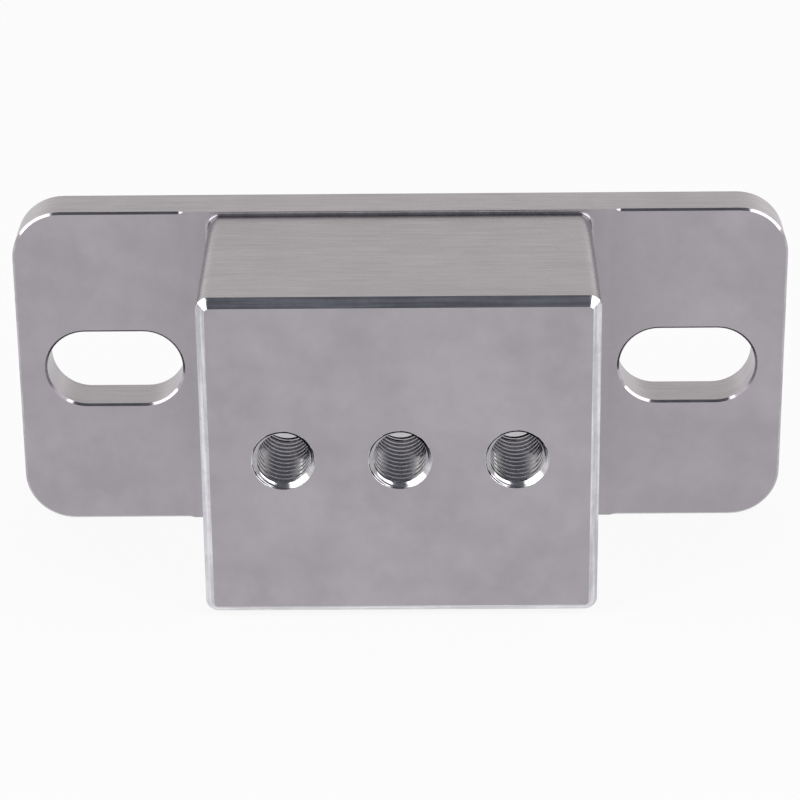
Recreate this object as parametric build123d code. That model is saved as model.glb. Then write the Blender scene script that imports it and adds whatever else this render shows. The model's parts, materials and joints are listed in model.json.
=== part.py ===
from build123d import *
import math
import os

# Machined mounting block: a back plate with two slots for its fixing bolts and,
# in one piece with it, a block with three holes, drilled right through and tapped
# from its front face.
#
# Millimetres. X runs along the plate, Y into the surface it is bolted to, Z up.
# The back of the plate lies in Y = 0, centred on the origin, and the block
# stands out towards -Y.

# --- Tapped holes, from the block's front face to the plate's back ------------
hole_count = 3
hole_spacing = 22.4            # centre to centre, along X
thread_diameter = 12.0         # M12 coarse
thread_pitch = 1.75
countersink_margin = 0.3       # how much wider the countersink is than the thread

# --- Block --------------------------------------------------------------------
hole_side_margin = 15.85       # last hole's centre to the block's side
block_projection = 44.5        # plate front to block front
block_step = 0.8               # plate stands this far above and below the block
block_chamfer = 1.7            # 45-degree chamfer round the block's front face
front_corner_radius = 0.8      # corner radius left on the front face itself
root_radius = min(0.7, block_step - 0.1)   # fillet where block and plate meet

# --- Plate --------------------------------------------------------------------
plate_height = 68.0
plate_thickness = 10.0
plate_corner_radius = 10.0
plate_end_margin = 5.75        # slot's outer end to the plate's end
edge_chamfer = 0.45            # 45-degree break on the plate's front edges
back_break = 0.3               # 45-degree break on every edge of the back face

# --- Slots --------------------------------------------------------------------
slot_length = 27.75            # overall, along X
slot_width = 16.0
slot_block_gap = 6.25          # slot's inner end to the block's side

# --- End of the plate's edge chamfer, beside the block ------------------------
chamfer_stop_gap = 5.0         # block's side to the tip of the run-out
chamfer_tool_offset = 1.95     # tool's axis to the edge that it breaks

# --- Sizes that follow --------------------------------------------------------
block_width = (hole_count - 1) * hole_spacing + 2 * hole_side_margin
block_height = plate_height - 2 * block_step
block_corner_radius = front_corner_radius + block_chamfer
slot_spacing = block_width + 2 * slot_block_gap + slot_length
plate_width = slot_spacing + slot_length + 2 * plate_end_margin
plate_front = -plate_thickness
block_front = plate_front - block_projection
bore_radius = (thread_diameter - thread_pitch) / 2
countersink_radius = (thread_diameter + countersink_margin) / 2
tool_radius = chamfer_tool_offset + edge_chamfer
run_out_length = math.sqrt(tool_radius**2 - chamfer_tool_offset**2)
chamfer_end = block_width / 2 + chamfer_stop_gap + run_out_length


def slots():
    """The two obround holes, cut right through the plate."""
    outline = Sketch() + [
        Pos(side * slot_spacing / 2, 0) * SlotOverall(slot_length, slot_width)
        for side in (-1, 1)
    ]
    return extrude(Plane.XZ * outline, plate_thickness)


def edge_land(side):
    """Sharp stretch of the plate's long edge, above or below the block."""
    land = 2 * edge_chamfer
    centre_y = plate_front + land / 2
    centre_z = side * (plate_height - land) / 2
    return Pos(0, centre_y, centre_z) * Box(2 * chamfer_end, land, land)


def edge_run_outs():
    """Cones that the chamfering tool leaves where it stops beside the block."""
    height = 3 * edge_chamfer
    widest = tool_radius + edge_chamfer
    cone = Cone(
        bottom_radius=widest,
        top_radius=widest - height,
        height=height,
        align=(Align.CENTER, Align.CENTER, Align.MIN),
    )
    tool = Rot(X=-90) * cone
    return [
        Pos(
            x_side * chamfer_end,
            plate_front - edge_chamfer,
            z_side * (plate_height / 2 + chamfer_tool_offset),
        )
        * tool
        for x_side in (-1, 1)
        for z_side in (-1, 1)
    ]


def plate():
    """Slotted plate with its front edges broken, except beside the block."""
    outline = RectangleRounded(plate_width, plate_height, plate_corner_radius)
    blank = extrude(Plane.XZ * outline, plate_thickness) - slots()
    front = blank.faces().sort_by(Axis.Y)[0]
    body = chamfer(front.edges(), edge_chamfer)
    body += [edge_land(side) for side in (-1, 1)]
    return body - edge_run_outs()


def block():
    """Block with rounded sides and a chamfered front, seated into the plate."""
    seat = Plane.XZ.offset(plate_thickness / 2)
    outline = RectangleRounded(block_width, block_height, block_corner_radius)
    length = block_projection + plate_thickness / 2
    body = extrude(seat * outline, length)
    front = body.faces().sort_by(Axis.Y)[0]
    return chamfer(front.edges(), block_chamfer)


def on_root_line(edge):
    """True for the edges where the block meets the plate's front."""
    box = edge.bounding_box()
    tolerance = 0.01
    in_plane = (
        abs(box.min.Y - plate_front) < tolerance
        and abs(box.max.Y - plate_front) < tolerance
    )
    reach_x = max(abs(box.min.X), abs(box.max.X))
    reach_z = max(abs(box.min.Z), abs(box.max.Z))
    beside_block = reach_x < block_width / 2 + tolerance
    return in_plane and beside_block and reach_z < block_height / 2 + tolerance


def tapped_hole():
    """Countersink, then a bore at tapping size right through, about the Y axis."""
    clear = 1.0
    profile = make_face(
        Polyline(
            (0, block_front - clear),
            (countersink_radius + clear, block_front - clear),
            (bore_radius, block_front + countersink_radius - bore_radius),
            (bore_radius, clear),
            (0, clear),
            close=True,
        )
    )
    return revolve(profile, Axis.Y)


def mounting_block():
    """The whole part."""
    body = plate() + block()
    body = fillet(body.edges().filter_by(on_root_line), root_radius)
    hole = tapped_hole()
    first_x = -(hole_count - 1) * hole_spacing / 2
    body -= [Pos(first_x + i * hole_spacing, 0, 0) * hole for i in range(hole_count)]
    back = body.faces().sort_by(Axis.Y)[-1]
    return chamfer(back.edges(), back_break)


os.makedirs("parts", exist_ok=True)
part = mounting_block()
export_step(part, "parts/mounting_block.step")
print("plate", plate_width, "x", plate_height, "x", plate_thickness)
print("block", block_width, "x", block_height, "projecting", block_projection)
print("volume", round(part.volume, 1), "mm3")
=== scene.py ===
"""Machined mounting block: finish of every surface, real threads, floor, light and camera.

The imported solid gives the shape. It is copied, the three plain bores are cut out
of the copy, and threaded ones are built in their place, so that one mesh, still
one piece, carries every machined surface. Lengths are metres in the frame of the
solid: X along the plate, Y into the surface that it is bolted to, Z up.
"""

import json
import math

import bmesh
import bpy
from mathutils import Matrix, Vector


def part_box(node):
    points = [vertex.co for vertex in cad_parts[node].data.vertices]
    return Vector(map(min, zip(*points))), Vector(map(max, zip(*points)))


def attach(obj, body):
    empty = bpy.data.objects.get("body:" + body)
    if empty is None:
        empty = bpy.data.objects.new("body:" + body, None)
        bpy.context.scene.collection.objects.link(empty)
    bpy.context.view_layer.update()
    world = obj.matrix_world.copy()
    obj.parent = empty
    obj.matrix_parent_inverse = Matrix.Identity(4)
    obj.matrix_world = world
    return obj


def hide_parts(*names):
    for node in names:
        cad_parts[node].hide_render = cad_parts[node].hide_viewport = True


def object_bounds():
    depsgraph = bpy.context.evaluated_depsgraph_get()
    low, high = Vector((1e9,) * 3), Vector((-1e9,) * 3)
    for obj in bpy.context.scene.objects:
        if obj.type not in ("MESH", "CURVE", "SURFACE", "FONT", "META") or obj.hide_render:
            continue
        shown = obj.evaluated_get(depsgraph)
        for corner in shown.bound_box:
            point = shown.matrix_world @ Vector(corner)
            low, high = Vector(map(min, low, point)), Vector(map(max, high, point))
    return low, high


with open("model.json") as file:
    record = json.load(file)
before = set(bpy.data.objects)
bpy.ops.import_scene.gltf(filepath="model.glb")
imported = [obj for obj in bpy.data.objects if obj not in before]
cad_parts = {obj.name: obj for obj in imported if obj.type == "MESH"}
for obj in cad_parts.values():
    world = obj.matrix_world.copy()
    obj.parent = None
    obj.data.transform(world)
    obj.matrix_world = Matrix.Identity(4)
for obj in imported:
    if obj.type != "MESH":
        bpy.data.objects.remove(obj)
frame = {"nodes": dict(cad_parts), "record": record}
cad_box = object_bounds()

MM = 0.001
MICRON = 0.000001
FLAT = 0.999                     # |normal.y| of a face cut square to Y
UPRIGHT = 0.02                   # |normal.y| of a face cut along Y
SHARP_ANGLE = math.radians(30)   # edges that turn by more than this are shaded sharp

# --- Threads: M12 coarse ------------------------------------------------------
THREAD_MAJOR_RADIUS = 6.0 * MM
THREAD_PITCH = 1.75 * MM
THREAD_DEPTH = 21.3 * MM         # from the front face to the last trace of thread
THREAD_FADE = 1.6 * MM           # length over which the last turn runs out
THREAD_START = math.radians(285)  # where the middle of the groove meets the front face
THREAD_FLANK = math.radians(30)
HOLE_SEGMENTS = 96
BORE_MARGIN = 0.1 * MM           # rings this near the bore's ends keep its normals true
CREST_ROWS, FLANK_ROWS, ROOT_ROWS = 3, 4, 1

# --- Painted light: a strip of the plate beside the block, lightened against the block's shade ---
PAINTED_LIGHT_STRIP_WIDTH = 4.6 * MM
PAINTED_LIGHT_STRIP_FADE = 1.2 * MM

# --- Finishes, in the order of the piece's material slots ----------------------
FINISHES = [
    "faced", "profiled", "chamfered", "edge_break", "root", "countersunk", "threaded", "drilled",
]


# =============================================================================
# Shape
# =============================================================================

def threaded_holes():
    """(axis x, axis z, bore radius, bore length) of each tapped hole."""
    holes = []
    for mount in frame["record"]["mounts"]:
        if mount["kind"] == "threaded_hole":
            x, _, z = mount["pos_m"]
            dims = mount["dims"]
            holes.append((x, z, dims["r_mm"] * MM, dims["length_mm"] * MM))
    return holes


def welded_copy(node):
    """bmesh of the solid with its true normals kept per corner, its seams welded."""
    mesh = node.data
    body = bmesh.new()
    body.from_mesh(mesh)
    body.faces.ensure_lookup_table()
    layer = body.loops.layers.float_vector.new("true_normal")
    for polygon in mesh.polygons:
        for k, loop in enumerate(body.faces[polygon.index].loops):
            loop[layer] = mesh.corner_normals[polygon.loop_start + k].vector
    bmesh.ops.remove_doubles(body, verts=body.verts, dist=1e-7)
    return body, layer


def plate_front_level(body, front_y):
    """Y of the plate's front: the largest flat that faces forwards, after the block's."""
    area = {}
    for face in body.faces:
        y = face.calc_center_median().y
        if face.normal.y < -FLAT and y > front_y + MM:
            level = round(y, 5)
            area[level] = area.get(level, 0) + face.calc_area()
    return max(area, key=area.get)


def distance_to_axis(vert, hole):
    return math.hypot(vert.co.x - hole[0], vert.co.z - hole[1])


def lies_at(item, level):
    """True for a face or edge whose every point has this Y."""
    return all(abs(vert.co.y - level) < 1e-6 for vert in item.verts)


def rim_radius_at(body, hole, level):
    """Radius of a hole where it meets the flat at this Y."""
    return min(distance_to_axis(vert, hole) for vert in body.verts if abs(vert.co.y - level) < 1e-6)


def cut_out_bores(body, holes, levels, widest):
    """Removes the front and back flats and the plain bores between them."""
    def in_bore(face):
        return any(
            all(distance_to_axis(vert, hole) < widest + 1e-5 for vert in face.verts)
            for hole in holes
        )

    gone = [
        face
        for face in body.faces
        if in_bore(face) or any(lies_at(face, level) for level in levels)
    ]
    bmesh.ops.delete(body, geom=gone, context="FACES")


def thread_lands(bore_radius):
    """Lengths along the axis of the thread's crest, flank and root."""
    flank = (THREAD_MAJOR_RADIUS - bore_radius) * math.tan(THREAD_FLANK)
    root = THREAD_PITCH / 8
    return THREAD_PITCH - root - 2 * flank, flank, root


def groove_middle(bore_radius):
    """Offset of the middle of the groove within one pitch."""
    crest, flank, root = thread_lands(bore_radius)
    return crest + flank + root / 2


def thread_rows(bore_radius):
    """(offset along the axis, share of full depth) of the rows in one pitch."""
    crest, flank, root = thread_lands(bore_radius)
    stretches = [
        (crest, 0, 0, CREST_ROWS),
        (flank, 0, 1, FLANK_ROWS),
        (root, 1, 1, ROOT_ROWS),
        (flank, 1, 0, FLANK_ROWS),
    ]
    rows = []
    offset = 0.0
    for length, share_from, share_to, count in stretches:
        for k in range(count):
            part = k / count
            rows.append((offset + part * length, share_from + part * (share_to - share_from)))
        offset += length
    return rows


def add_threaded_hole(body, hole, front_y, rim_radius, back_radius):
    """Countersink, thread, drilled bore and the break at its back end.

    Returns (face, finish) pairs.
    """
    axis_x, axis_z, bore_radius, bore_length = hole
    bore_end = rim_radius - bore_radius + bore_length
    rows = thread_rows(bore_radius)
    start = THREAD_PITCH * THREAD_START / (2 * math.pi) - groove_middle(bore_radius)
    made = []
    points = {}

    def point(key, column, depth, radius):
        if key not in points:
            angle = 2 * math.pi * column / HOLE_SEGMENTS
            x = axis_x + radius * math.cos(angle)
            z = axis_z + radius * math.sin(angle)
            points[key] = body.verts.new((x, front_y + depth, z))
        return points[key]

    def thread_point(column, row):
        """Point of one row; a turn to the left of column 0 is the row a pitch before."""
        turns, column = divmod(column, HOLE_SEGMENTS)
        row -= turns * len(rows)
        pitches, k = divmod(row, len(rows))
        offset, share = rows[k]
        depth = (pitches - column / HOLE_SEGMENTS) * THREAD_PITCH + offset + start
        if depth <= 0:
            return point((column, "mouth"), column, 0, rim_radius)
        if depth >= THREAD_DEPTH:
            return point((column, "thread end"), column, THREAD_DEPTH, bore_radius)
        fade = min(1, (THREAD_DEPTH - depth) / THREAD_FADE)
        groove = bore_radius + share * fade * (THREAD_MAJOR_RADIUS - bore_radius)
        return point((column, row), column, depth, max(groove, rim_radius - depth))

    def add(corners, finish):
        corners = list(dict.fromkeys(corners))
        if len(corners) > 2:
            made.append((body.faces.new(corners), finish))

    last_row = (math.ceil(THREAD_DEPTH / THREAD_PITCH) + 2) * len(rows)
    for column in range(HOLE_SEGMENTS):
        beside = column + 1
        for row in range(-2 * len(rows), last_row):
            quad = [
                thread_point(column, row),
                thread_point(beside, row),
                thread_point(beside, row + 1),
                thread_point(column, row + 1),
            ]
            on_cone = all(
                abs(distance_to_axis(vert, hole) + vert.co.y - front_y - rim_radius) < 1e-7
                for vert in quad
            )
            add(quad, "countersunk" if on_cone else "threaded")
        rings = [
            ("thread end", THREAD_DEPTH, bore_radius, "drilled"),
            ("bore start", THREAD_DEPTH + BORE_MARGIN, bore_radius, "drilled"),
            ("bore stop", bore_end - BORE_MARGIN, bore_radius, "drilled"),
            ("bore end", bore_end, bore_radius, "edge_break"),
            ("back", -front_y, back_radius, None),
        ]
        for (name, depth, radius, finish), after in zip(rings, rings[1:]):
            quad = [
                point((c % HOLE_SEGMENTS, ring[0]), c, ring[1], ring[2])
                for ring in ((name, depth, radius), after[:3])
                for c in (column, beside)
            ]
            add([quad[0], quad[1], quad[3], quad[2]], finish)
    return made


def fill_flat(body, level, normal, layer):
    """Closes a flat between its outline and the rims of the holes."""
    edges = [edge for edge in body.edges if edge.is_boundary and lies_at(edge, level)]
    filled = bmesh.ops.triangle_fill(body, use_beauty=True, edges=edges, normal=normal)
    for face in filled["geom"]:
        if not isinstance(face, bmesh.types.BMFace):
            continue
        face.normal_update()
        if face.normal.dot(normal) < 0:
            face.normal_flip()
        face.material_index = FINISHES.index("faced")
        for loop in face.loops:
            loop[layer] = normal


def finish_of(face, plate_front):
    """How the surface was cut, told from its slope and its place."""
    slope = abs(face.normal.y)
    if slope > FLAT:
        return "faced"
    if slope < UPRIGHT:
        return "profiled"
    y = face.calc_center_median().y
    if y > plate_front:
        return "edge_break"
    if y > plate_front - MM:
        return "root"
    return "chamfered"


def machined_piece(node):
    """The visible piece: the solid's copy with real threads in its holes."""
    holes = threaded_holes()
    front_y, back_y = (corner.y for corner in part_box(node.name))
    body, true_normal = welded_copy(node)
    plate_front = plate_front_level(body, front_y)
    rim_radius = rim_radius_at(body, holes[0], front_y)
    back_radius = rim_radius_at(body, holes[0], back_y)
    block_side = max(vert.co.x for vert in body.verts if vert.co.y < (plate_front + front_y) / 2)
    cut_out_bores(body, holes, (front_y, back_y), rim_radius)
    for face in body.faces:
        face.material_index = FINISHES.index(finish_of(face, plate_front))
    for hole in holes:
        for face, finish in add_threaded_hole(body, hole, front_y, rim_radius, back_radius):
            face.material_index = FINISHES.index(finish)
    fill_flat(body, front_y, Vector((0, -1, 0)), true_normal)
    fill_flat(body, back_y, Vector((0, 1, 0)), true_normal)
    for face in body.faces:
        face.smooth = True

    mesh = bpy.data.meshes.new("machined_block")
    body.to_mesh(mesh)
    body.free()
    mesh.set_sharp_from_angle(angle=SHARP_ANGLE)
    attribute = mesh.attributes["true_normal"]
    normals = [tuple(item.vector) for item in attribute.data]
    mesh.attributes.remove(attribute)
    mesh.normals_split_custom_set(normals)
    piece = bpy.data.objects.new("machined_block", mesh)
    bpy.context.scene.collection.objects.link(piece)
    return piece, (block_side, plate_front, front_y)


# =============================================================================
# Effects that several finishes share
# =============================================================================

NOISE_RANGE = (0.36, 0.64)       # where most of a noise's values lie
WISP_FINENESS = 3.3              # how much finer the wisps are than the clouds
WISP_SHARE = 0.35


def add_node(tree, kind, inputs=None, **settings):
    """A node with its settings made and its inputs linked or filled in."""
    made = tree.nodes.new(kind)
    for name, value in settings.items():
        setattr(made, name, value)
    for name, value in (inputs or {}).items():
        if isinstance(value, bpy.types.NodeSocket):
            tree.links.new(value, made.inputs[name])
        else:
            made.inputs[name].default_value = value
    return made


def calculate(tree, operation, *values):
    """Result of a Math node."""
    return add_node(tree, "ShaderNodeMath", dict(enumerate(values)), operation=operation).outputs[0]


def scaled(tree, vector, factor):
    """A place or a colour, times a factor."""
    return add_node(
        tree, "ShaderNodeVectorMath", {0: vector, "Scale": factor}, operation="SCALE"
    ).outputs[0]


def spread(tree, value, low, high, to_low, to_high):
    """Moves a value from one range to another, with soft ends."""
    limits = {"Value": value, "From Min": low, "From Max": high, "To Min": to_low, "To Max": to_high}
    return add_node(
        tree, "ShaderNodeMapRange", limits, interpolation_type="SMOOTHSTEP"
    ).outputs["Result"]


def noise(tree, place, detail=2.0, roughness=0.5):
    """Noise whose patches are about one unit of the place across."""
    settings = {"Vector": place, "Scale": 1.0, "Detail": detail, "Roughness": roughness}
    return add_node(tree, "ShaderNodeTexNoise", settings).outputs["Fac"]


def place_on_part(tree):
    """Place in metres, in the part's own frame."""
    return add_node(tree, "ShaderNodeTexCoord").outputs["Object"]


def new_effect(name, inputs, output):
    """An empty effect with number sockets: its tree, its inputs and its output node."""
    tree = bpy.data.node_groups.new(name, "ShaderNodeTree")
    for socket, value in inputs.items():
        made = tree.interface.new_socket(socket, in_out="INPUT", socket_type="NodeSocketFloat")
        made.default_value = value
    tree.interface.new_socket(output, in_out="OUTPUT", socket_type="NodeSocketFloat")
    given = tree.nodes.new("NodeGroupInput").outputs
    return tree, given, tree.nodes.new("NodeGroupOutput")


def put_out(tree, output, value):
    """Links an effect's result to its output, and returns the effect."""
    tree.links.new(value, output.inputs[0])
    return tree


def cloudy_effect():
    """Soft patches of lighter and darker metal. Shade is 1 on average."""
    tree, given, output = new_effect("cloudy", {"Patch Size": 12 * MM, "Contrast": 0.05}, "Shade")
    per_metre = calculate(tree, "DIVIDE", 1.0, given["Patch Size"])
    place = scaled(tree, place_on_part(tree), per_metre)
    closer = scaled(tree, place, WISP_FINENESS)
    broad = calculate(tree, "MULTIPLY", noise(tree, place), 1 - WISP_SHARE)
    both = calculate(tree, "MULTIPLY_ADD", noise(tree, closer, 1.0), WISP_SHARE, broad)
    least = calculate(tree, "SUBTRACT", 1.0, given["Contrast"])
    most = calculate(tree, "ADD", 1.0, given["Contrast"])
    return put_out(tree, output, spread(tree, both, *NOISE_RANGE, least, most))


def cutter_lines_effect():
    """Lines that a nicked cutting edge leaves along its path, round the part."""
    tree, given, output = new_effect("cutter_lines", {"Spacing": 0.4 * MM, "Run": 20 * MM}, "Lines")
    along = calculate(tree, "DIVIDE", 1.0, given["Run"])
    across = calculate(tree, "DIVIDE", 1.0, given["Spacing"])
    factors = add_node(tree, "ShaderNodeCombineXYZ", {0: along, 1: across, 2: along}).outputs[0]
    place = add_node(
        tree, "ShaderNodeVectorMath", {0: place_on_part(tree), 1: factors}, operation="MULTIPLY"
    ).outputs[0]
    return put_out(tree, output, spread(tree, noise(tree, place, 3.0, 0.6), *NOISE_RANGE, 0.0, 1.0))


def facing_arcs_effect():
    """Shallow arcs that a face mill leaves, one for each step of its feed."""
    tree, given, output = new_effect("facing_arcs", {"Radius": 40 * MM, "Feed": 0.6 * MM}, "Height")
    place = add_node(tree, "ShaderNodeSeparateXYZ", {0: place_on_part(tree)}).outputs
    radius_squared = calculate(tree, "MULTIPLY", given["Radius"], given["Radius"])
    height_squared = calculate(tree, "MULTIPLY", place["Z"], place["Z"])
    reach = calculate(tree, "SQRT", calculate(tree, "SUBTRACT", radius_squared, height_squared))
    steps = calculate(tree, "DIVIDE", calculate(tree, "ADD", place["X"], reach), given["Feed"])
    wave = calculate(tree, "SINE", calculate(tree, "MULTIPLY", steps, 2 * math.pi))
    return put_out(tree, output, calculate(tree, "MULTIPLY_ADD", wave, 0.5, 0.5))


def grain_effect():
    """Fine tooth of a cut metal surface."""
    tree, given, output = new_effect("grain", {"Size": 0.3 * MM}, "Height")
    per_metre = calculate(tree, "DIVIDE", 1.0, given["Size"])
    place = scaled(tree, place_on_part(tree), per_metre)
    return put_out(tree, output, noise(tree, place, 3.0, 0.6))


def nicks_effect():
    """A few small spots where the metal was touched. 1 in a nick, 0 elsewhere."""
    tree, given, output = new_effect("nicks", {"Apart": 4 * MM, "Share": 0.15, "Width": 0.05}, "Mask")
    per_metre = calculate(tree, "DIVIDE", 1.0, given["Apart"])
    cells = add_node(
        tree, "ShaderNodeTexVoronoi", {"Vector": place_on_part(tree), "Scale": per_metre}
    ).outputs
    picked = calculate(tree, "LESS_THAN", cells["Color"], given["Share"])
    near = calculate(tree, "LESS_THAN", cells["Distance"], given["Width"])
    return put_out(tree, output, calculate(tree, "MULTIPLY", picked, near))


EFFECTS = {
    "cloudy": cloudy_effect(),
    "cutter_lines": cutter_lines_effect(),
    "facing_arcs": facing_arcs_effect(),
    "grain": grain_effect(),
    "nicks": nicks_effect(),
}


def effect(tree, name, **values):
    """What a shared effect puts out, with this material's own values."""
    placed = add_node(tree, "ShaderNodeGroup", node_tree=EFFECTS[name])
    for socket, value in values.items():
        placed.inputs[socket.replace("_", " ")].default_value = value
    return placed.outputs[0]


# =============================================================================
# Finishes
# =============================================================================

ALUMINIUM = (0.390, 0.367, 0.397)         # satin cut metal
BRIGHT_ALUMINIUM = (0.610, 0.600, 0.635)  # metal cut by a sharp edge
THREAD_ALUMINIUM = (0.370, 0.362, 0.386)  # metal cut by a tap
BORE_ALUMINIUM = (0.700, 0.690, 0.710)    # metal burnished by a drill's lands


def new_material(name):
    material = bpy.data.materials.new(name)
    material.use_nodes = True
    material.node_tree.nodes.clear()
    return material, material.node_tree


def bumped(tree, height, depth, normal=None):
    """Normal of a relief of this depth in metres."""
    inputs = {"Height": height, "Distance": depth, "Strength": 1.0}
    if normal is not None:
        inputs["Normal"] = normal
    return add_node(tree, "ShaderNodeBump", inputs).outputs["Normal"]


def metal(material, tree, colour, roughness, normal=None):
    """Closes a material with a metal shader."""
    inputs = {"Base Color": colour, "Metallic": 1.0, "Roughness": roughness}
    if normal is not None:
        inputs["Normal"] = normal
    shader = add_node(tree, "ShaderNodeBsdfPrincipled", inputs)
    output = add_node(tree, "ShaderNodeOutputMaterial")
    tree.links.new(shader.outputs["BSDF"], output.inputs["Surface"])
    return material


def painted_light_strip(tree, block_side, plate_front, front_y):
    """1 on the strip of the plate's front beside the block, where painted light offsets the shade that
    the block casts.
    """
    place = add_node(tree, "ShaderNodeSeparateXYZ", {0: place_on_part(tree)}).outputs
    from_middle = calculate(tree, "ABSOLUTE", place["X"])
    edge = block_side + PAINTED_LIGHT_STRIP_WIDTH
    beside = spread(tree, from_middle, edge - PAINTED_LIGHT_STRIP_FADE, edge, 1.0, 0.0)
    halfway = (plate_front + front_y) / 2
    off_block = calculate(tree, "GREATER_THAN", place["Y"], halfway)
    not_back = calculate(tree, "LESS_THAN", place["Y"], plate_front / 2)
    return calculate(tree, "MULTIPLY", beside, calculate(tree, "MULTIPLY", off_block, not_back))


def faced_finish(levels):
    """Front and back flats: satin, cloudy, with the arcs of the face mill just to be seen."""
    material, tree = new_material("faced_metal")
    block_side, plate_front, front_y = levels
    clouds = effect(tree, "cloudy", Patch_Size=20 * MM, Contrast=0.07)
    wisps = effect(tree, "cloudy", Patch_Size=5.5 * MM, Contrast=0.02)
    # painted light: the plate is made 4% lighter on a strip beside the block, to offset the shade that
    # the block casts there
    strip = painted_light_strip(tree, block_side, plate_front, front_y)
    toned = calculate(tree, "MULTIPLY_ADD", strip, 0.04, calculate(tree, "MULTIPLY", clouds, wisps))
    nicks = effect(tree, "nicks", Apart=11 * MM, Share=0.10, Width=0.012)
    shade = calculate(tree, "MULTIPLY_ADD", nicks, -0.18, toned)
    roughness = spread(tree, clouds, 0.95, 1.05, 0.34, 0.42)
    arcs = effect(tree, "facing_arcs", Radius=45 * MM, Feed=0.5 * MM)
    grain = effect(tree, "grain", Size=0.35 * MM)
    normal = bumped(tree, grain, 3 * MICRON, bumped(tree, arcs, 0.6 * MICRON))
    return metal(material, tree, scaled(tree, ALUMINIUM, shade), roughness, normal)


def profiled_finish():
    """Sides, slots and edges: streaked along the path of the end mill."""
    material, tree = new_material("profiled_metal")
    fine = effect(tree, "cutter_lines", Spacing=0.35 * MM, Run=12 * MM)
    broad = effect(tree, "cutter_lines", Spacing=2.2 * MM, Run=50 * MM)
    clouds = effect(tree, "cloudy", Patch_Size=12 * MM, Contrast=0.025)
    streaks = calculate(tree, "MULTIPLY_ADD", fine, 0.05, 0.975)
    bands = calculate(tree, "MULTIPLY_ADD", broad, 0.05, 0.975)
    shade = calculate(tree, "MULTIPLY", clouds, calculate(tree, "MULTIPLY", streaks, bands))
    roughness = spread(tree, fine, 0.0, 1.0, 0.34, 0.26)
    normal = bumped(tree, fine, 2.5 * MICRON)
    return metal(material, tree, scaled(tree, ALUMINIUM, shade), roughness, normal)


def chamfered_finish():
    """Block's front chamfer: near mirror, streaked along its length, with a few nicks."""
    material, tree = new_material("chamfered_metal")
    streaks = effect(tree, "cutter_lines", Spacing=0.7 * MM, Run=30 * MM)
    clouds = effect(tree, "cloudy", Patch_Size=4 * MM, Contrast=0.08)
    nicks = effect(tree, "nicks", Apart=2.2 * MM, Share=0.14, Width=0.06)
    streaked = calculate(tree, "MULTIPLY_ADD", streaks, 0.36, 0.82)
    shade = calculate(tree, "MULTIPLY_ADD", nicks, 0.35, calculate(tree, "MULTIPLY", streaked, clouds))
    roughness = calculate(tree, "MULTIPLY_ADD", nicks, 0.35, 0.13)
    ripple = effect(tree, "grain", Size=1.2 * MM)
    normal = bumped(tree, ripple, 12 * MICRON)
    return metal(material, tree, scaled(tree, BRIGHT_ALUMINIUM, shade), roughness, normal)


def edge_break_finish():
    """Small breaks on the plate's edges: near mirror, a little rippled."""
    material, tree = new_material("edge_break_metal")
    clouds = effect(tree, "cloudy", Patch_Size=4 * MM, Contrast=0.12)
    shade = calculate(tree, "MULTIPLY", clouds, 1.15)
    ripple = effect(tree, "grain", Size=1.2 * MM)
    normal = bumped(tree, ripple, 10 * MICRON)
    return metal(material, tree, scaled(tree, ALUMINIUM, shade), 0.13, normal)


def root_finish():
    """Fillet where the block meets the plate: burnished by the cutter's corner."""
    material, tree = new_material("root_metal")
    clouds = effect(tree, "cloudy", Patch_Size=3 * MM, Contrast=0.14)
    nicks = effect(tree, "nicks", Apart=2.4 * MM, Share=0.2, Width=0.1)
    shade = calculate(tree, "MULTIPLY_ADD", nicks, 0.5, clouds)
    ripple = effect(tree, "grain", Size=0.9 * MM)
    normal = bumped(tree, ripple, 10 * MICRON)
    return metal(material, tree, scaled(tree, ALUMINIUM, shade), 0.24, normal)


def countersunk_finish():
    """Mouths of the holes: bright, with faint chatter round the cone."""
    material, tree = new_material("countersunk_metal")
    rings = effect(tree, "cutter_lines", Spacing=0.2 * MM, Run=4 * MM)
    shade = calculate(tree, "MULTIPLY_ADD", rings, 0.14, 0.93)
    normal = bumped(tree, rings, 6 * MICRON)
    return metal(material, tree, scaled(tree, BRIGHT_ALUMINIUM, shade), 0.14, normal)


def threaded_finish():
    """Thread: cut bright, a little torn along the flanks."""
    material, tree = new_material("threaded_metal")
    tears = effect(tree, "grain", Size=0.6 * MM)
    shade = spread(tree, tears, 0.35, 0.65, 0.95, 1.15)
    roughness = spread(tree, tears, 0.35, 0.65, 0.10, 0.16)
    return metal(material, tree, scaled(tree, THREAD_ALUMINIUM, shade), roughness)


def drilled_finish():
    """Bore behind the thread: burnished by the drill's lands, in fine rings."""
    material, tree = new_material("drilled_metal")
    rings = effect(tree, "cutter_lines", Spacing=0.3 * MM, Run=10 * MM)
    shade = calculate(tree, "MULTIPLY_ADD", rings, 0.08, 0.96)
    return metal(material, tree, scaled(tree, BORE_ALUMINIUM, shade), 0.08)


# =============================================================================
# Floor, light and camera
# =============================================================================

FLOOR_SIZE = 8.0
FLOOR_WHITE = 0.8
FLOOR_GLOW = 0.90                # share of plain white that the camera and mirrors see

HORIZON = (0.85, 0.840, 0.800)   # light from round about
BEHIND = 0.35                    # how much lighter the wall behind is, near the floor
BEHIND_HEIGHTS = (0.10, 0.40)    # it fades between these heights
BEHIND_WIDTH = 0.7
CEILING = (0.142, 0.149, 0.167)  # the dark above
CEILING_HEIGHTS = (0.40, 0.72)   # it sets in between these heights
CEILING_LEAN = 0.25              # and comes lower in front than behind

SOFTBOX_PLACE = Vector((0.74, -0.34, 0.60))
SOFTBOX_SIZE = 0.86
SOFTBOX_WATTS = 6.2

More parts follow.
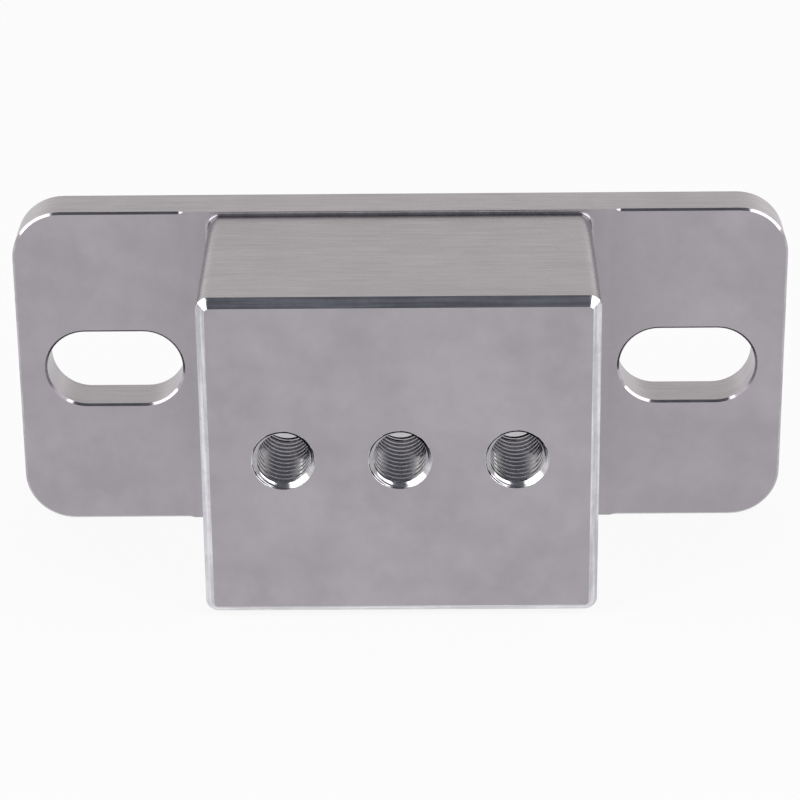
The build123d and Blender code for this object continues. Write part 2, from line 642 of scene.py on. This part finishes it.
CAMERA_LENS = 143.58             # on a 36 mm sensor
SENSOR_WIDTH = 36.0
CAMERA_DISTANCE = 0.6352
CAMERA_PITCH = math.radians(24.32)
CAMERA_YAW = math.radians(0.478)
CAMERA_ROLL = math.radians(-0.559)
CAMERA_AIM = Vector((-0.12, 0, 0.315)) * MM    # from the middle of the part's box


def add_object(name, data):
    made = bpy.data.objects.new(name, data)
    bpy.context.scene.collection.objects.link(made)
    return made


def floor_finish():
    """Pale matt floor, whiter to the camera and in mirrors, and clear from below."""
    material, tree = new_material("pale_floor")
    white = (FLOOR_WHITE, FLOOR_WHITE, FLOOR_WHITE, 1)
    matt = add_node(tree, "ShaderNodeBsdfDiffuse", {"Color": white}).outputs[0]
    glow = add_node(tree, "ShaderNodeEmission", {"Strength": 1.0}).outputs[0]
    clear = add_node(tree, "ShaderNodeBsdfTransparent").outputs[0]
    rays = add_node(tree, "ShaderNodeLightPath").outputs
    mirrored = calculate(tree, "MAXIMUM", rays["Is Glossy Ray"], rays["Is Transmission Ray"])
    seen = calculate(tree, "MAXIMUM", rays["Is Camera Ray"], mirrored)
    below = add_node(tree, "ShaderNodeNewGeometry").outputs["Backfacing"]
    share = calculate(tree, "MULTIPLY", seen, FLOOR_GLOW)
    lit = add_node(tree, "ShaderNodeMixShader", {0: share, 1: matt, 2: glow}).outputs[0]
    surface = add_node(tree, "ShaderNodeMixShader", {0: below, 1: lit, 2: clear}).outputs[0]
    output = add_node(tree, "ShaderNodeOutputMaterial")
    tree.links.new(surface, output.inputs["Surface"])
    return material


def add_floor(level):
    mesh = bpy.data.meshes.new("floor")
    half = FLOOR_SIZE / 2
    corners = [(-half, -half, level), (half, -half, level), (half, half, level), (-half, half, level)]
    mesh.from_pydata(corners, [], [(0, 1, 2, 3)])
    mesh.materials.append(floor_finish())
    add_object("floor", mesh)


def add_room():
    """Light from all round: pale at the sides, lighter low down behind, dark above."""
    world = bpy.data.worlds.new("studio")
    bpy.context.scene.world = world
    world.use_nodes = True
    tree = world.node_tree
    tree.nodes.clear()
    direction = add_node(tree, "ShaderNodeTexCoord").outputs["Generated"]
    towards = add_node(tree, "ShaderNodeSeparateXYZ", {0: direction}).outputs
    tilted = calculate(tree, "MULTIPLY_ADD", towards["Y"], -CEILING_LEAN, towards["Z"])
    above = spread(tree, tilted, *CEILING_HEIGHTS, 0.0, 1.0)
    colour = add_node(
        tree,
        "ShaderNodeMix",
        {"Factor": above, "A": (*HORIZON, 1), "B": (*CEILING, 1)},
        data_type="RGBA",
    )
    low_down = spread(tree, towards["Z"], *BEHIND_HEIGHTS, BEHIND, 0.0)
    at_back = spread(tree, towards["Y"], 0.0, BEHIND_WIDTH, 0.0, 1.0)
    level = calculate(tree, "MULTIPLY_ADD", low_down, at_back, 1.0)
    room = add_node(
        tree,
        "ShaderNodeBackground",
        {"Color": colour.outputs["Result"], "Strength": level},
    ).outputs[0]
    output = add_node(tree, "ShaderNodeOutputWorld")
    tree.links.new(room, output.inputs["Surface"])


def add_softbox(side):
    """Square softbox, high at one side and a little in front."""
    light = bpy.data.lights.new("softbox", "AREA")
    light.size = SOFTBOX_SIZE
    light.energy = SOFTBOX_WATTS
    lamp = add_object("softbox", light)
    lamp.location = SOFTBOX_PLACE * Vector((side, 1, 1))
    lamp.rotation_mode = "QUATERNION"
    lamp.rotation_quaternion = (-lamp.location).to_track_quat("-Z", "Y")
    lamp.visible_camera = False


def add_camera(middle):
    lens = bpy.data.cameras.new("camera")
    lens.lens = CAMERA_LENS
    lens.sensor_width = SENSOR_WIDTH
    lens.clip_start = 0.01
    camera = add_object("camera", lens)
    camera.matrix_world = (
        Matrix.Translation(middle + CAMERA_AIM)
        @ Matrix.Rotation(CAMERA_YAW, 4, "Z")
        @ Matrix.Rotation(math.pi / 2 - CAMERA_PITCH, 4, "X")
        @ Matrix.Rotation(CAMERA_ROLL, 4, "Z")
        @ Matrix.Translation((0, 0, CAMERA_DISTANCE))
    )
    bpy.context.scene.camera = camera


# =============================================================================
# Scene
# =============================================================================

piece, levels = machined_piece(frame["nodes"]["mounting_block"])
for finish in (
    faced_finish(levels),
    profiled_finish(),
    chamfered_finish(),
    edge_break_finish(),
    root_finish(),
    countersunk_finish(),
    threaded_finish(),
    drilled_finish(),
):
    piece.data.materials.append(finish)
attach(piece, "root")
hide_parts("mounting_block")

low, high = cad_box
add_floor(low.z)
add_room()
for side in (-1, 1):
    add_softbox(side)
add_camera((low + high) / 2)
bpy.context.scene.view_settings.view_transform = "Standard"
